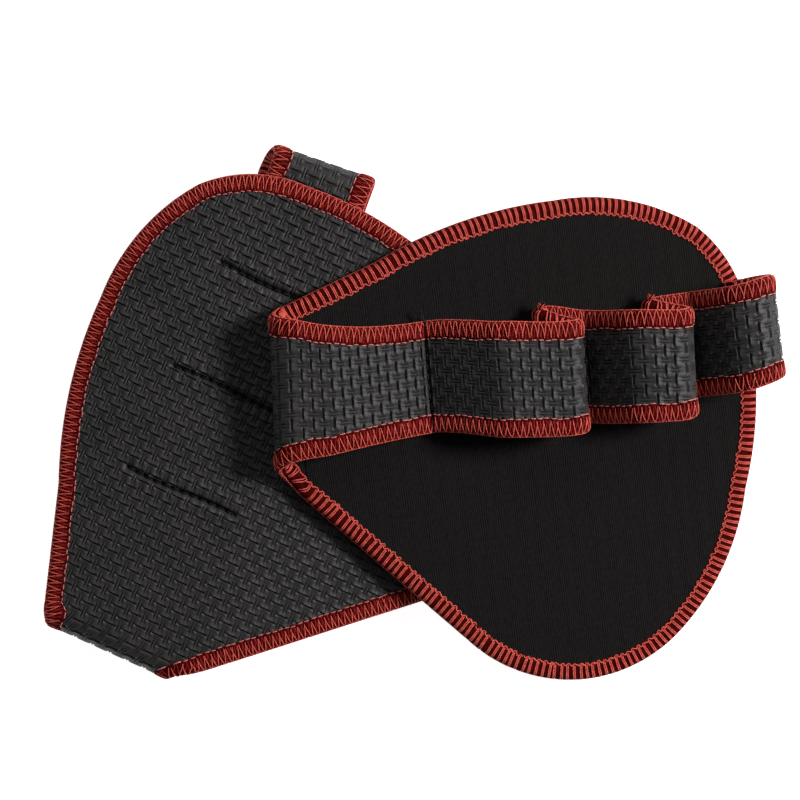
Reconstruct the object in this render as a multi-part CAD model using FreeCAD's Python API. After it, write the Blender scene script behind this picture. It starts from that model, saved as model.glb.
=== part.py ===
import FreeCAD, Part
import math
import os
from FreeCAD import Placement, Rotation, Vector

# A pair of four-finger hand grips. Each grip is one leaf-shaped blank of sheet, foam rubber
# embossed on one face with jersey bonded to the other. The blank's neck folds over onto the
# jersey and runs back as a strap, three seams across the strap make four finger loops, and
# every cut edge is bound with overlock thread. The left grip lies loops down with its embossed
# face up. The right grip, its mirror image, lies loops up with one side on the left grip.
#
# A grip has its own axes: s runs along the strap from the fold, t runs across it towards the
# fingertips, and z rises from the embossed face through the jersey to the loops.

# Sheet and binding, in millimetres
SHEET = 3.0
JERSEY = 0.4
THREAD = 0.3
EDGE_WIDTH = 4.2
KERF = 0.3
MID = SHEET / 2

# Outline of the pad in s and t: a tuple of two points is an arc through the first to the second
NECK_LEFT = (-8.0, 16.8)
OUTLINE = [
    ((30.0, 29.3),),
    ((55.0, 37.3), (78.0, 39.5)),
    ((99.0, 36.7), (114.6, 28.4)),
    ((121.9, 18.3), (125.4, 3.0)),
    ((124.9, -20.0), (119.6, -41.0)),
    ((110.6, -61.7), (96.0, -77.2)),
    ((84.5, -83.0), (72.0, -84.8)),
    ((56.0, -80.9), (42.4, -70.4)),
    ((-8.0, -13.5),),
]
FINGER_FLAP_LINE = 17.0
PALM_FLAP_LINE = -25.0

# Strap: heights of its mid-plane, the fold's mid radius and the bends at the seams, where the
# strap folds back a little before each seam
ROLL_RADIUS = 4.5
START_LAYER = SHEET + 0.7 + MID
RETURN_LAYER = START_LAYER + 3.8
SEAM_BEND = (RETURN_LAYER - START_LAYER) / 2
SEAM_FOLD_SHIFT = -0.4
SEAM_REACH = 14.5
STRAP_SEAM_REACH = 9.0
STRAP_END = 121.0
SPLIT_LAYER = (START_LAYER + RETURN_LAYER) / 2
FOLD_ROOM = 5.0

# Mid-line radii where a loop leaves the strap below and bends over at its top, where the
# first, open loop comes down, and where the drooping pad bends
LIFT_RADIUS = 2.6
CROWN_RADIUS = 4.0
DESCENT_RADII = (10.0, 5.0)
DROOP_RADII = {"finger": 10.0, "palm": 20.0}

# Seam stitches lie in a groove pressed into the rubber
STITCH_RADIUS = 0.22
STITCH_LENGTH = 2.0
STITCH_PITCH = 2.5
STITCH_SINK = 0.1
GROOVE_WIDTH = 1.4
GROOVE_DEPTH = 0.6
STRAP_GROOVE_SHIFT = -0.9

# Reaches past the pad's two sides and past the whole grip, and the least volume of a real solid
PALM_REACH = -95.0
FINGER_REACH = 50.0
FAR = 200.0
LEAST_VOLUME = 0.5

# Each grip as it lies: where its fold is, how high its loops stand, how the flaps droop
LEFT = {
    "fold": -5.2,
    "seams": (41.0, 69.8, 98.6),
    "crowns": (10.5, 13.2, 13.2, 13.2),
    "rises": ((26.0, 37.0), (43.0, 50.0), (86.0, 91.5), (114.8, 120.5)),
    "turns": (None, 83.6, 112.4, 134.4),
    "droop": {"finger": 8.0, "palm": 9.7},
    "palm_bend": -17.0,
    "widths": (
        ((-8.0, 18.2, -16.8), (41.0, 16.0, -16.0)),
        ((41.0, 15.8, -15.8), (85.0, 15.0, -15.0)),
        ((66.0, 14.6, -14.6), (113.0, 14.2, -14.2)),
        ((96.0, 13.6, -13.6), (135.0, 14.6, -11.6)),
    ),
}
RIGHT = {
    "fold": -0.5,
    "seams": (39.6, 69.8, 98.6),
    "crowns": (10.5, 17.8, 17.8, 17.0),
    "rises": ((18.5, 32.5), (40.5, 57.0), (81.0, 92.0), (109.5, 119.0)),
    "turns": (None, 78.2, 106.7, 130.4),
    "droop": {"finger": 0.0, "palm": 0.0},
    "palm_bend": -25.0,
    "widths": (
        ((-1.0, 19.4, -18.2), (39.6, 13.0, -14.8)),
        ((39.6, 13.0, -15.4), (78.2, 9.0, -19.4)),
        ((66.0, 10.0, -18.6), (107.0, 8.8, -18.4)),
        ((96.0, 11.2, -15.4), (131.0, 13.6, -12.2)),
    ),
}

# Where the grips lie
LEFT_HEADING = 65.5
LEFT_ORIGIN = Vector(-77.02, -58.18, 0)
LEFT_HEIGHT = 13.2 + MID + THREAD
RIGHT_HEADING = 7.4
RIGHT_ORIGIN = Vector(-36.02, 4.41, 0)
RIDGE_CLEARANCE = 0.9
RIGHT_TILT = 7.4


def plan_point(s, t):
    return Vector(s, t, 0)


def outline_face():
    """The pad's outline, closed across the neck."""
    edges = []
    here = plan_point(*NECK_LEFT)
    for stretch in OUTLINE:
        points = [plan_point(*p) for p in stretch]
        if len(points) == 1:
            edges.append(Part.makeLine(here, points[0]))
        else:
            edges.append(Part.Arc(here, points[0], points[1]).toShape())
        here = points[-1]
    edges.append(Part.makeLine(here, plan_point(*NECK_LEFT)))
    return Part.Face(Part.Wire(edges))


def block(s_range, t_range, z_range):
    low = Vector(s_range[0], t_range[0], z_range[0])
    size = Vector(s_range[1], t_range[1], z_range[1]) - low
    return Part.makeBox(size.x, size.y, size.z, low)


def slab(s_range=(-FAR, FAR), z_range=(-FAR, FAR)):
    return block(s_range, (-FAR, FAR), z_range)


def upright(face):
    """A plan-view face made into a prism taller than the grip."""
    lowered = face.copy()
    lowered.translate(Vector(0, 0, -FAR))
    return lowered.extrude(Vector(0, 0, 2 * FAR))


def corner_arc(before, corner, after, radius):
    """The tangent arc at a path's corner: its ends, middle, centre, ends' normals and turn."""
    u = (corner - before).normalize()
    v = (after - corner).normalize()
    turn = math.atan2(u.x * v.y - u.y * v.x, u.dot(v))
    reach = radius * math.tan(abs(turn) / 2)
    side = math.copysign(1.0, turn)
    start = corner - u * reach
    end = corner + v * reach
    normal_u = Vector(-u.y, u.x, 0)
    normal_v = Vector(-v.y, v.x, 0)
    centre = start + normal_u * (radius * side)
    outward = (corner - centre).normalize()
    return start, end, centre, outward, normal_u, normal_v, side


def offset_edges(path, distance):
    """Edges of a rounded path moved to its left by a distance, with the two end points."""
    points = [Vector(p[0], p[1], 0) for p in path]
    first = (points[1] - points[0]).normalize()
    here = points[0] + Vector(-first.y, first.x, 0) * distance
    chain_start = here
    edges = []
    for i in range(1, len(points) - 1):
        radius = path[i][2]
        start, end, centre, outward, normal_u, normal_v, side = corner_arc(
            points[i - 1], points[i], points[i + 1], radius
        )
        arc_start = start + normal_u * distance
        arc_middle = centre + outward * (radius - side * distance)
        arc_end = end + normal_v * distance
        if (arc_start - here).Length > 1e-4:
            edges.append(Part.makeLine(here, arc_start))
        edges.append(Part.Arc(arc_start, arc_middle, arc_end).toShape())
        here = arc_end
    last = (points[-1] - points[-2]).normalize()
    chain_end = points[-1] + Vector(-last.y, last.x, 0) * distance
    edges.append(Part.makeLine(here, chain_end))
    return edges, chain_start, chain_end


def band_face(path, low, high):
    """The face between two offsets of a rounded path, in the plane of its two coordinates."""
    low_edges, low_start, low_end = offset_edges(path, low)
    high_edges, high_start, high_end = offset_edges(path, high)
    caps = [Part.makeLine(low_end, high_end), Part.makeLine(high_start, low_start)]
    loop = Part.__sortEdges__(low_edges + high_edges + caps)
    return Part.Face(Part.Wire(loop))


def along_strap(path, low, high):
    """Sheet that follows a path in s and z, very wide in t."""
    face = band_face(path, low, high)
    face.rotate(Vector(0, 0, 0), Vector(1, 0, 0), 90)
    face.translate(Vector(0, FAR, 0))
    return face.extrude(Vector(0, -2 * FAR, 0))


def across_strap(path, low, high):
    """Sheet that follows a path in t and z, very long in s."""
    face = band_face(path, low, high)
    face.rotate(Vector(0, 0, 0), Vector(1, 0, 0), 90)
    face.rotate(Vector(0, 0, 0), Vector(0, 0, 1), 90)
    face.translate(Vector(-FAR, 0, 0))
    return face.extrude(Vector(2 * FAR, 0, 0))


def quad_prism(corners):
    wire = Part.makePolygon([plan_point(*c) for c in corners + corners[:1]])
    return upright(Part.Face(wire))


def strap_prism(ends):
    """Plan-view prism of a strap stretch inside its thread, straight between two stations."""
    (s0, left0, right0), (s1, left1, right1) = ends
    corners = [
        (s0, right0 + THREAD),
        (s1, right1 + THREAD),
        (s1, left1 - THREAD),
        (s0, left0 - THREAD),
    ]
    return quad_prism(corners)


def edge_prisms(ends):
    """The two plan-view strips that a strap stretch's overlock covers."""
    (s0, left0, right0), (s1, left1, right1) = ends
    left = quad_prism(
        [(s0, left0 - EDGE_WIDTH), (s1, left1 - EDGE_WIDTH), (s1, left1), (s0, left0)]
    )
    right = quad_prism(
        [(s0, right0), (s1, right1), (s1, right1 + EDGE_WIDTH), (s0, right0 + EDGE_WIDTH)]
    )
    return left, right


def group(shapes):
    """A compound of every solid in the given shapes."""
    return Part.makeCompound([solid for shape in shapes for solid in shape.Solids])


def roll_centre(grip):
    """Where the pad ends and the neck's fold begins."""
    return grip["fold"] + ROLL_RADIUS + MID


def strap_path(grip):
    """The strap's mid-line in s and z, from the pad round the fold to the strap's end."""
    inner_fold = grip["fold"] + MID
    crowns = grip["crowns"]
    rises = grip["rises"]
    path = [
        (roll_centre(grip), MID, 0),
        (inner_fold, MID, ROLL_RADIUS),
        (inner_fold, crowns[0], ROLL_RADIUS),
        (rises[0][0], crowns[0], DESCENT_RADII[0]),
        (rises[0][1], START_LAYER, DESCENT_RADII[1]),
    ]
    for k in (1, 2, 3):
        is_last = k == 3
        landing = START_LAYER if is_last else RETURN_LAYER
        turn = grip["turns"][k] - MID
        bend = (crowns[k] - landing) / 2
        path.append((rises[k][0], START_LAYER, LIFT_RADIUS))
        path.append((rises[k][1], crowns[k], CROWN_RADIUS))
        path.append((turn, crowns[k], bend))
        path.append((turn, landing, bend))
        if not is_last:
            fold = grip["seams"][k] + SEAM_FOLD_SHIFT
            path.append((fold, RETURN_LAYER, SEAM_BEND))
            path.append((fold, START_LAYER, SEAM_BEND))
    path.append((STRAP_END, START_LAYER, 0))
    return path


def loop_regions(grip):
    """For each loop, the space along and above the strap that holds it and no other loop."""
    second_end = grip["turns"][1] + 2 * THREAD
    third_end = grip["turns"][2] + 2 * THREAD
    second_fold = grip["seams"][1] - FOLD_ROOM
    third_fold = grip["seams"][2] - FOLD_ROOM
    below = (-FAR, SPLIT_LAYER)
    above = (SPLIT_LAYER, FAR)
    first = slab((-FAR, grip["seams"][0]))
    second = slab((grip["seams"][0], second_fold)).fuse(slab((second_fold, second_end), above))
    third = slab((second_fold, third_fold), below).fuse(slab((second_end, third_end), above))
    fourth = slab((third_fold, third_end), below).fuse(slab((third_end, FAR)))
    return [region.removeSplitter() for region in (first, second, third, fourth)]


def strap_layers(grip):
    """Rubber, lining and thread of the strap: for each loop, three shapes at full length."""
    path = strap_path(grip)
    rubber = along_strap(path, -MID + JERSEY, MID)
    lining = along_strap(path, -MID, -MID + JERSEY)
    whole = along_strap(path, -MID, MID)
    wrapped = along_strap(path, -MID - THREAD, MID + THREAD)
    loops = []
    for region, ends in zip(loop_regions(grip), grip["widths"]):
        core = strap_prism(ends).common(region)
        thread = []
        for strip in edge_prisms(ends):
            thread.append(wrapped.common(strip.common(region)).cut(whole.common(core)))
        loops.append(
            {
                "rubber": rubber.common(core),
                "lining": lining.common(core),
                "edging": group(thread),
            }
        )
    return loops


def pad_path(grip):
    """The pad's mid-line in t and z, drooping beyond its two bend lines."""
    finger = math.tan(math.radians(grip["droop"]["finger"]))
    palm = math.tan(math.radians(grip["droop"]["palm"]))
    palm_end = (PALM_REACH, MID + (grip["palm_bend"] - PALM_REACH) * palm, 0)
    finger_end = (FINGER_REACH, MID + (FINGER_REACH - FINGER_FLAP_LINE) * finger, 0)
    if finger == 0 and palm == 0:
        return [palm_end, finger_end]
    return [
        palm_end,
        (grip["palm_bend"], MID, DROOP_RADII["palm"]),
        (FINGER_FLAP_LINE - 1.0, MID, DROOP_RADII["finger"]),
        finger_end,
    ]


def pad_layers(grip):
    """Rubber, jersey and thread of the whole pad, from the fold to the far edge."""
    path = pad_path(grip)
    outline = outline_face()
    core = upright(outline.makeOffset2D(-THREAD)).common(slab((roll_centre(grip), FAR)))
    ring = upright(outline).cut(upright(outline.makeOffset2D(-EDGE_WIDTH)))
    ring = ring.common(slab((roll_centre(grip), FAR)))
    whole = across_strap(path, -MID, MID).common(core)
    wrapped = across_strap(path, -MID - THREAD, MID + THREAD).common(ring)
    return {
        "rubber": across_strap(path, -MID, MID - JERSEY).common(core),
        "jersey": across_strap(path, MID - JERSEY, MID).common(core),
        "edging": wrapped.cut(whole),
    }


def flap_ranges(flaps):
    """The t range of each stretch of pad that moves by itself, with a kerf between them."""
    half = KERF / 2
    ranges = {"centre": [-FAR, FAR]}
    if "finger_flap" in flaps:
        ranges["finger_flap"] = [FINGER_FLAP_LINE + half, FAR]
        ranges["centre"][1] = FINGER_FLAP_LINE - half
    if "palm_flap" in flaps:
        ranges["palm_flap"] = [-FAR, PALM_FLAP_LINE - half]
        ranges["centre"][0] = PALM_FLAP_LINE + half
    return ranges


def groove(s, z):
    """The slot that a seam presses into a face at height z."""
    half = GROOVE_WIDTH / 2
    low = z - GROOVE_DEPTH
    return block((s - half, s + half), (-SEAM_REACH, SEAM_REACH), (low, z + GROOVE_DEPTH))


def stitch_row(s, reach, z):
    """A row of short thread stitches across the strap, centred on height z."""
    count = int(2 * reach / STITCH_PITCH)
    first = -(count - 1) * STITCH_PITCH / 2 - STITCH_LENGTH / 2
    stitches = []
    for i in range(count):
        start = Vector(s, first + i * STITCH_PITCH, z)
        stitches.append(Part.makeCylinder(STITCH_RADIUS, STITCH_LENGTH, start, Vector(0, 1, 0)))
    return stitches


def seam_stitches(grip, index):
    """One seam's thread: a row in the embossed face, and one on the strap where it shows."""
    height = GROOVE_DEPTH - STITCH_RADIUS - STITCH_SINK
    rows = stitch_row(grip["seams"][index], SEAM_REACH, height)
    if index == 0:
        strap_s = grip["seams"][index] + STRAP_GROOVE_SHIFT
        rows += stitch_row(strap_s, STRAP_SEAM_REACH, START_LAYER + MID - height)
    return group(rows)


def grip_nodes(prefix, grip, flaps, loops_move):
    """Every node of one grip in the grip's own axes."""
    nodes = {}
    pad = pad_layers(grip)
    for s in grip["seams"]:
        pad["rubber"] = pad["rubber"].cut(groove(s, 0))
    for part, t_range in flap_ranges(flaps).items():
        cutter = block((-FAR, FAR), t_range, (-FAR, FAR))
        for layer, shape in pad.items():
            nodes[f"{prefix}_pad_{layer}_{part}"] = shape.common(cutter)

    strap_groove = groove(grip["seams"][0] + STRAP_GROOVE_SHIFT, START_LAYER + MID)
    fixed = {"lining": [], "edging": []}
    for k, layers in enumerate(strap_layers(grip)):
        number = k + 1
        layers["rubber"] = layers["rubber"].cut(strap_groove)
        if not loops_move:
            nodes[f"{prefix}_loop_{number}_rubber"] = layers["rubber"]
            for layer in fixed:
                fixed[layer].append(layers[layer])
            continue
        landing = START_LAYER if k == 3 else RETURN_LAYER
        level = ROLL_RADIUS + MID if k == 0 else (grip["crowns"][k] + landing) / 2
        crown = slab(z_range=(level + KERF / 2, FAR))
        feet = slab(z_range=(-FAR, level - KERF / 2))
        for layer, shape in layers.items():
            nodes[f"{prefix}_loop_{number}_crown_{layer}"] = shape.common(crown)
        nodes[f"{prefix}_loop_{number}_feet_rubber"] = layers["rubber"].common(feet)
        for layer in fixed:
            fixed[layer].append(layers[layer].common(feet))
    for layer, shapes in fixed.items():
        nodes[f"{prefix}_strap_{layer}"] = group(shapes)
    if not loops_move:
        # The thread that the grip stands on is apart from the rest, so that it alone collides
        edging = nodes[f"{prefix}_strap_edging"]
        footing = slab(z_range=(max(grip["crowns"]) + MID, FAR))
        nodes[f"{prefix}_strap_edging_footing"] = edging.common(footing)
        nodes[f"{prefix}_strap_edging"] = edging.cut(footing)
    for index in range(len(grip["seams"])):
        nodes[f"{prefix}_seam_{index + 1}"] = seam_stitches(grip, index)
    return nodes


def turn_about_z(origin, heading):
    return Placement(origin, Rotation(Vector(0, 0, 1), heading))


def place_left(shape):
    """Loops down: the grip is mirrored and stands on its loops."""
    mirrored = shape.mirror(Vector(0, 0, 0), Vector(0, 0, 1))
    mirrored.Placement = turn_about_z(LEFT_ORIGIN, LEFT_HEADING) * mirrored.Placement
    mirrored.translate(Vector(0, 0, LEFT_HEIGHT))
    return mirrored


def right_placement():
    """Loops up: tilted about the left grip's bend line, which carries its high side."""
    heading = math.radians(LEFT_HEADING)
    ridge = Vector(math.cos(heading), math.sin(heading), 0)
    across = Vector(-ridge.y, ridge.x, 0)
    pivot = LEFT_ORIGIN + across * LEFT["palm_bend"]
    tilt = Placement(Vector(0, 0, 0), Rotation(ridge, RIGHT_TILT), pivot)
    lift = Placement(Vector(0, 0, LEFT_HEIGHT + RIDGE_CLEARANCE), Rotation())
    return lift * tilt * turn_about_z(RIGHT_ORIGIN, RIGHT_HEADING)


def clean_solids(name, shape):
    """The shape's solids alone, checked, as one solid or one compound."""
    solids = [solid for solid in shape.Solids if solid.Volume > LEAST_VOLUME]
    if not solids:
        raise ValueError(f"{name} has no solid")
    for solid in solids:
        if not solid.isValid():
            raise ValueError(f"{name} has an invalid solid")
    return solids[0] if len(solids) == 1 else Part.makeCompound(solids)


def main():
    os.makedirs("parts", exist_ok=True)
    nodes = {}
    for name, shape in grip_nodes("left", LEFT, ("finger_flap",), False).items():
        nodes[name] = place_left(shape)
    resting = right_placement()
    for name, shape in grip_nodes("right", RIGHT, ("finger_flap", "palm_flap"), True).items():
        moved = shape.copy()
        moved.Placement = resting * moved.Placement
        nodes[name] = moved
    for name, shape in nodes.items():
        is_seam = "_seam_" in name
        kept = shape if is_seam else clean_solids(name, shape)
        kept.exportStep(f"parts/{name}.step")
    box = Part.makeCompound(list(nodes.values())).BoundBox
    print("nodes", len(nodes))
    print("box", [round(v, 2) for v in (box.XMin, box.XMax, box.YMin, box.YMax, box.ZMin, box.ZMax)])


main()
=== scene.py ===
"""The looks of a pair of four-finger hand grips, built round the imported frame.

The grips' sizes are in millimetres and become metres where a mesh is made. The floor, the lights and
the camera are placed in metres.

Each grip has its own axes: s runs along the strap from the fold, t across it towards the fingertips,
and z from the embossed face through the jersey to the loops. A place on the sheet is (along, across,
out). On the pad, along is s and across is t. On the strap, along is the path's length, called u, and
across is q, measured from the strap's middle. out is measured from the sheet's middle towards the
embossed face.
"""

import math

import bpy
import numpy as np
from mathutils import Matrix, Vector


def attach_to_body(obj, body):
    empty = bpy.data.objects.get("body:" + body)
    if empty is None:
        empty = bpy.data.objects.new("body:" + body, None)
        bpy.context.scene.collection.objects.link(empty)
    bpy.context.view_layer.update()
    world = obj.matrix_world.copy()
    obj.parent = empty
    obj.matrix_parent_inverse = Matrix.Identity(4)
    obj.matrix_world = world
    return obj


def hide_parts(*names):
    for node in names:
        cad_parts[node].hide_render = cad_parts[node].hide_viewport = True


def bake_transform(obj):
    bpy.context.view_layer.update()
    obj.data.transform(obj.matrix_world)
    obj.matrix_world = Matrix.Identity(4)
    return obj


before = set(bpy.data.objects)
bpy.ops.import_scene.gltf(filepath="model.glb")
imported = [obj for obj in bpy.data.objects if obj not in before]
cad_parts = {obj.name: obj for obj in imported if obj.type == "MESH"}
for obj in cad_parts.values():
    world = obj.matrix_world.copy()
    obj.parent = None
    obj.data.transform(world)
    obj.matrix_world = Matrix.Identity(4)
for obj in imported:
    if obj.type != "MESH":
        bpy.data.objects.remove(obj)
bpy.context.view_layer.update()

MM = 0.001

# The sheet, its jersey and how far its own edge lies inside the binding
SHEET = 3.0
MID = SHEET / 2
JERSEY = 0.4
RIB = 0.65
PAD_RIB_DEPTH = 0.05
STRAP_RIB_DEPTH = 0.04
TRIM = 1.5

# The pad's outline in s and t: two points are an arc through the first to the second
NECK_LEFT = (-8.0, 16.8)
OUTLINE = [
    ((30.0, 29.3),),
    ((55.0, 37.3), (78.0, 39.5)),
    ((99.0, 36.7), (114.6, 28.4)),
    ((121.9, 18.3), (125.4, 3.0)),
    ((124.9, -20.0), (119.6, -41.0)),
    ((110.6, -61.7), (96.0, -77.2)),
    ((84.5, -83.0), (72.0, -84.8)),
    ((56.0, -80.9), (42.4, -70.4)),
    ((-8.0, -13.5),),
]
OUTLINE_STEP = 0.5
# Limits of the pad's grid, just past the outline, and its middle along s
PAD_MIDDLE = 60.0
PAD_TIP = 126.0
PAD_FINGER_SIDE = 40.0
PAD_PALM_SIDE = -86.0
# The outline's two slopes at the neck, and how far the strap's binding runs on over the pad there
NECK_SLOPES = (12.5 / 38.0, -56.9 / 50.4)
FOLD_RUN = 5.0
FINGER_FLAP_LINE = 17.0
# Each flap's bend: a point on its line, the line's slant clear of the fold's corner, half its width
FINGER_BEND = (75.0, 18.5, 0.137)
PALM_BEND = (75.0, -28.0, 0.178)
BEND_REACH = 3.5

# The strap's layers, seams and bends. The layers are the heights of the sheet's middle.
ROLL_RADIUS = 4.5
START_LAYER = SHEET + 0.7 + MID
RETURN_LAYER = START_LAYER + 3.8
SEAM_BEND = (RETURN_LAYER - START_LAYER) / 2
SEAM_FOLD_SHIFT = -0.4
SEAM_REACH = 16.0
SEAM_DEPTH = 1.5
STRAP_SEAM_DEPTH = 1.6
STRAP_SEAM_WIDTH = 0.5
SEAM_STITCH = 2.5
SEAM_WAVE = 0.35
STRAP_END = 121.0
LIFT_RADIUS = 2.6
DESCENT_RADII = (16.0, 12.0)
# Heights between which each right loop's opening is spread, from its feet to its crown
OPENING_HEIGHTS = ((6.5, 9.5), (7.5, 14.0), (7.5, 14.0), (7.5, 14.0))

# Each grip as it lies. The pad is made as two pieces that meet at t = "split". "crowns" are the
# heights of the loops' tops, "rises" where loop 1 starts and ends its descent and each other loop its
# rise, and "turns" where those loops turn back. "droop" is how many degrees each side of the pad
# leans, beyond FINGER_FLAP_LINE and "palm_bend". "edges" gives the strap's two sides at each corner of
# its path, and "skews" how far it leans out of square there.
LEFT = {
    "name": "left",
    "split": -16.5,
    "fold": -5.2,
    "seams": (41.0, 69.8, 98.6),
    "crowns": (10.5, 13.2, 13.2, 13.2),
    "crown_radius": 4.0,
    "rises": ((26.0, 37.0), (43.0, 50.0), (86.0, 91.5), (114.8, 120.5)),
    "turns": (None, 83.6, 112.4, 134.4),
    "droop": {"finger": 8.0, "palm": 9.7},
    "palm_bend": -17.0,
    "edges": (
        (19.7, -23.4), (18.4, -18.2), (17.2, -16.6),
        (16.6, -16.4), (16.4, -16.2), (16.3, -16.2), (16.0, -16.0), (15.2, -15.2), (15.0, -15.0),
        (14.9, -14.9), (14.9, -14.9), (14.6, -14.6), (14.4, -14.4), (14.2, -14.2), (14.1, -14.1),
        (14.0, -13.9), (14.0, -13.8), (14.1, -13.1), (16.2, -12.5), (16.8, -11.6), (14.4, -11.6),
        (13.6, -12.6),
    ),
    "skews": (
        0.0, 0.0, 0.0, 0.0, 0.0, 0.0, 0.0, 0.0, 0.0, 0.0, 0.0,
        0.0, 0.0, 0.0, 0.0, 0.0, 0.0, 0.0, -0.05, -0.09, -0.09, 0.0,
    ),
}
RIGHT = {
    "name": "right",
    "split": -4.0,
    "fold": -0.5,
    "seams": (39.6, 69.8, 98.6),
    "crowns": (10.5, 17.8, 17.8, 17.0),
    "crown_radius": 8.0,
    "rises": ((14.0, 37.0), (40.5, 57.0), (81.0, 92.0), (109.5, 119.0)),
    "turns": (None, 78.2, 106.7, 130.4),
    "droop": {"finger": 0.0, "palm": 0.0},
    "palm_bend": -25.0,
    "edges": (
        (21.2, -28.7), (20.4, -22.4), (18.6, -17.7),
        (15.2, -16.2), (12.9, -14.7), (13.0, -14.6), (10.8, -17.3), (8.8, -19.0), (9.4, -18.8),
        (12.2, -16.2), (12.8, -15.8), (10.6, -17.6), (9.3, -18.3), (8.0, -18.9), (9.0, -18.2),
        (11.0, -16.2), (11.4, -15.9), (11.7, -14.8), (12.3, -13.8), (13.6, -12.2), (13.6, -12.0),
        (13.0, -12.4),
    ),
    "skews": (
        0.0, 0.06, 0.1, 0.06, 0.04, 0.04, 0.045, 0.055, 0.055, 0.03, 0.03,
        0.04, 0.05, 0.065, 0.065, 0.03, 0.03, 0.0, 0.0, 0.0, 0.0, 0.0,
    ),
}
GRIPS = (LEFT, RIGHT)

# Where the grips lie
LEFT_HEADING = math.radians(65.5)
LEFT_ORIGIN = np.array([-77.02, -58.18, 0.0])
LEFT_HEIGHT = 15.0
RIGHT_HEADING = math.radians(7.4)
RIGHT_ORIGIN = np.array([-36.02, 4.41, 0.0])
RIDGE_CLEARANCE = 0.9
RIGHT_TILT = math.radians(7.4)

# The embossed basket pattern. Each groove across the strap has a flat floor and raised lips, and the
# grooves along it are twins on either side of a low rib. The reaches are half their lengths.
PITCH = 2.45
GROOVE_DEPTH = 0.6
GROOVE_FLOOR = 0.07
GROOVE_LIP = 0.36
GROOVE_END = 0.8
LIP_HEIGHT = 0.13
TWIN_RIB = 0.1
TWIN_OFFSET = 0.36
TWIN_LIP = 0.66
TWIN_END = 0.9
TWIN_DEPTH = 0.34
TWIN_RIB_HEIGHT = 0.08
TWIN_LIP_HEIGHT = 0.05
ACROSS_REACH = 1.6
ALONG_REACH = 1.35
GROOVE_FADE = 0.25

# Grid lines in each cell of the pattern, from its middle: along and across a face that is seen
# closely, which follow the grooves' sides, and both ways on a face that isn't
FINE = (-GROOVE_END, -GROOVE_LIP, -GROOVE_FLOOR, GROOVE_FLOOR, GROOVE_LIP, GROOVE_END, PITCH / 2)
FINE_ROWS = (-TWIN_LIP, -TWIN_OFFSET, -TWIN_RIB, TWIN_RIB, TWIN_OFFSET, TWIN_LIP, PITCH / 2)
COARSE = (-0.5, 0.0, 0.5, PITCH / 2)
LINE_GAP = 0.08

# Overlock: one stitch's length and its threads
STITCH = 1.78
THREAD_RADIUS = 0.14
UNDER_RADIUS = 0.11
CHAIN_RADIUS = 0.17
INNER_RADIUS = 0.18
BAR_RADIUS = 0.19
FRAY_RADIUS = 0.13
SEAM_THREAD_RADIUS = 0.23
SEAM_TAIL_RADIUS = 0.16
THREAD_SIDES = 6
THREAD_END = 0.55


# ---------------------------------------------------------------- places on the sheet


def turned(points, heading):
    """Turned about the vertical."""
    c, s = math.cos(heading), math.sin(heading)
    x = points[..., 0] * c - points[..., 1] * s
    y = points[..., 0] * s + points[..., 1] * c
    return np.stack([x, y, points[..., 2]], axis=-1)


def tilted(points):
    """Turned about the left grip's bend line, which carries the right grip's high side."""
    ridge = np.array([math.cos(LEFT_HEADING), math.sin(LEFT_HEADING), 0.0])
    across = np.array([-ridge[1], ridge[0], 0.0])
    pivot = LEFT_ORIGIN + across * LEFT["palm_bend"]
    arm = points - pivot
    c, s = math.cos(RIGHT_TILT), math.sin(RIGHT_TILT)
    along = (arm @ ridge)[..., None] * ridge
    return pivot + arm * c + np.cross(ridge, arm) * s + along * (1 - c)


def to_row(grip, points):
    """Points in a grip's own axes moved to the part's frame, still in millimetres."""
    if grip is LEFT:
        flipped = points * np.array([1.0, 1.0, -1.0])
        return turned(flipped, LEFT_HEADING) + LEFT_ORIGIN + [0, 0, LEFT_HEIGHT]
    lifted = tilted(turned(points, RIGHT_HEADING) + RIGHT_ORIGIN)
    return lifted + [0, 0, LEFT_HEIGHT + RIDGE_CLEARANCE]


def ramp(x, softness):
    """Zero before zero and x after it, with a soft corner, and its slope."""
    root = np.sqrt(x * x + softness * softness)
    return (x + root) / 2, (1 + x / root) / 2


def fade(distance, reach, softness):
    """One within reach, zero beyond it, soft between."""
    f = np.clip((reach + softness - distance) / (2 * softness), 0, 1)
    return f * f * (3 - 2 * f)


def even_lines(low, high, step):
    """Values about a step apart, with both limits."""
    return np.linspace(low, high, max(2, int(round((high - low) / step)) + 1))


def pad_place(grip):
    """The pad's surface as a function of s, t and out: level, drooping at its sides, a little wavy."""
    finger = math.tan(math.radians(grip["droop"]["finger"]))
    palm = math.tan(math.radians(grip["droop"]["palm"]))
    phase = 0.0 if grip is LEFT else 1.7

    def place(s, t, out):
        rise_f, slope_f = ramp(t - FINGER_FLAP_LINE, 6.0)
        rise_p, slope_p = ramp(grip["palm_bend"] - t, 10.0)
        wave = 0.22 * np.sin(s / 17 + phase) * np.sin(t / 13 + 0.6 + phase)
        z = MID + finger * rise_f + palm * rise_p + wave
        slope = finger * slope_f - palm * slope_p
        length = np.sqrt(1 + slope * slope)
        return np.stack([s, t + out * slope / length, z - out / length], axis=-1)

    return place


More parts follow.
